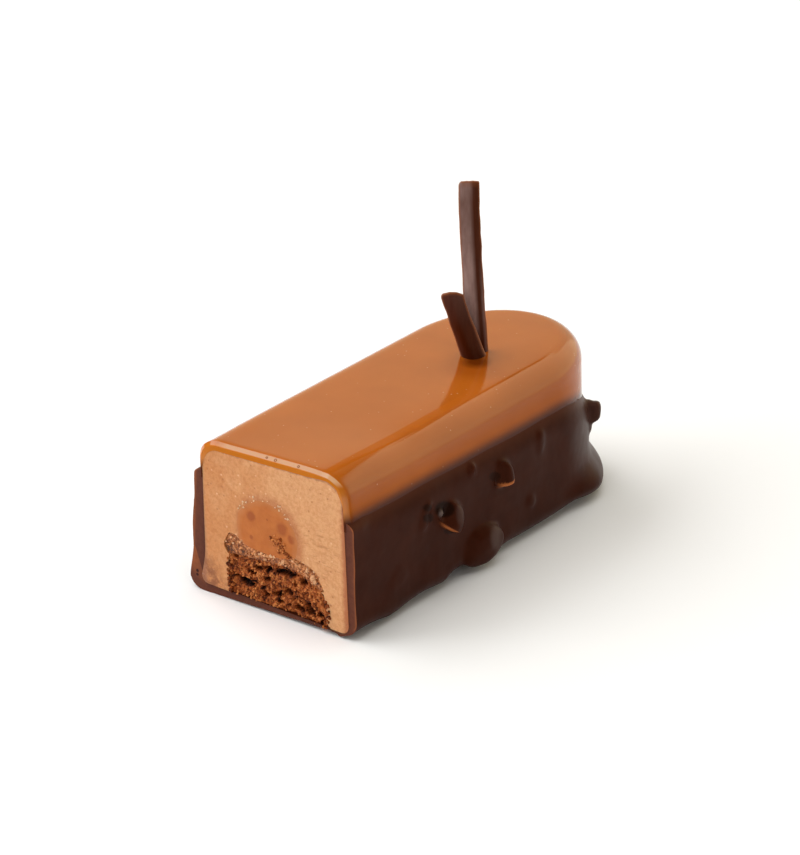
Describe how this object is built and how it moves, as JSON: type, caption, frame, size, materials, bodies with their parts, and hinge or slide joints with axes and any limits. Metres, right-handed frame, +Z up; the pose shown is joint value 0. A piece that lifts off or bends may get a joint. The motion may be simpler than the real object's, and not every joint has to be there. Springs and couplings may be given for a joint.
{
  "type": "caramel mousse cake",
  "caption": "Glazed mousse cake bar cut across at one end, with a caramel core on a crisp and sponge base, a nutty dark chocolate dip and chocolate strips standing in the top.",
  "frame": {"origin": "under the middle of the cake's bounding box, on the surface that it stands on", "axes": "+Z up, +Y along the bar from the cut face to the rounded end, +X to the right as the cut face is seen"},
  "size_m": [0.0482, 0.097, 0.073],
  "materials": {
    "mousse": "soft, matt and finely porous mousse",
    "caramel_glaze": "smooth mirror glaze",
    "dark_chocolate": "satin set chocolate over nuts",
    "soft_caramel": "smooth soft caramel",
    "praline_crisp": "crunchy praline with glossy bits",
    "cocoa_sponge": "open dark crumb",
    "strip_chocolate": "satin tempered chocolate"
  },
  "bodies": {
    "root": {"mousse": "mousse", "caramel_glaze": "caramel_glaze", "chocolate_coat": "dark_chocolate", "caramel_core": "soft_caramel", "praline_crisp": "praline_crisp", "cocoa_sponge": "cocoa_sponge", "chocolate_strip_tall": "strip_chocolate", "chocolate_strip_short": "strip_chocolate"}
  },
  "joints": []
}
